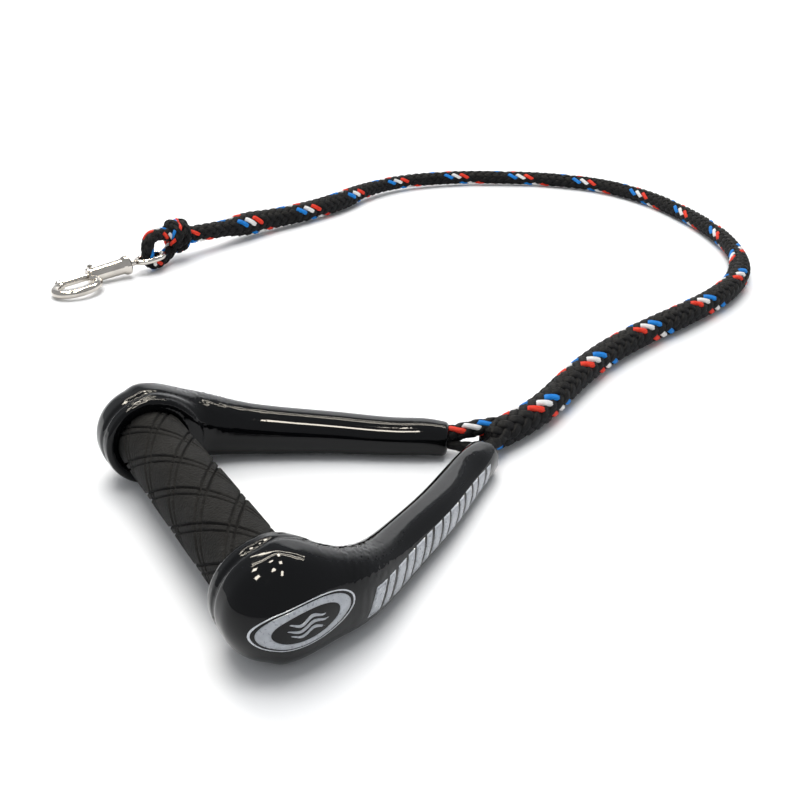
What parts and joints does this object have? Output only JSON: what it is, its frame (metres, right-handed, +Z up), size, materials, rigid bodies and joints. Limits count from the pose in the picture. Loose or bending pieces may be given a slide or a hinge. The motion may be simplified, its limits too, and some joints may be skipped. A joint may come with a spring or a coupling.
{
  "type": "tow rope handle",
  "caption": "Single-hand tow handle: rubber grip between two glossy moulded arms that meet at a braided lead, spliced and knotted to a swivel bolt snap.",
  "frame": {"origin": "on the table, under the middle of the handle's own box (grip and arms, without the lead)", "axes": "+Z up from the table, +Y along the grip from the near cap to the far cap, +X from the grip to the arm tips"},
  "size_m": [0.5042, 0.4854, 0.0386],
  "materials": {
    "tube_aluminium": "satin drawn tube",
    "grip_rubber": "matt charcoal moulded rubber",
    "guide_nylon": "black moulded nylon",
    "boot_vinyl": "high gloss black dipped vinyl, silver grey print",
    "rope": "black braided polypropylene with red, white and blue tracer strands",
    "nickel": "polished nickel plate",
    "spring_steel": "bright drawn spring wire"
  },
  "bodies": {
    "handle": {"grip_tube": "tube_aluminium", "rubber_grip": "grip_rubber", "near_rope_guide": "guide_nylon", "far_rope_guide": "guide_nylon", "near_boot": "boot_vinyl", "far_boot": "boot_vinyl", "bridle_rope": "rope", "near_leg": "rope", "far_leg": "rope", "handle_splice": "rope", "handle_buried_tail": "rope", "lead_rope": "rope", "snap_splice": "rope", "snap_buried_tail": "rope", "lead_neck": "rope", "lock_knot": "rope", "snap_loop": "rope"},
    "eye": {"swivel_eye": "nickel"},
    "snap": {"snap_body": "nickel", "bolt_spring": "spring_steel"},
    "bolt": {"snap_bolt": "nickel", "thumb_stud": "nickel"}
  },
  "joints": [
    {"name": "eye_swing", "type": "hinge", "parent": "handle", "child": "eye", "pos_m": [0.02979, 0.30958, 0.00951], "axis": [-0.0922, -0.0081, 0.9957], "range_deg": [-60, 60]},
    {"name": "snap_spin", "type": "hinge", "parent": "eye", "child": "snap", "pos_m": [0.01194, 0.30801, 0.00784], "axis": [-0.9919, -0.0868, -0.0926], "continuous": true},
    {"name": "bolt_slide", "type": "slide", "parent": "snap", "child": "bolt", "axis": [0.9919, 0.0868, 0.0926], "range_m": [0, 0.008], "stiffness_N_per_m": 350, "springref_m": -0.004, "deforming": ["bolt_spring"]}
  ]
}
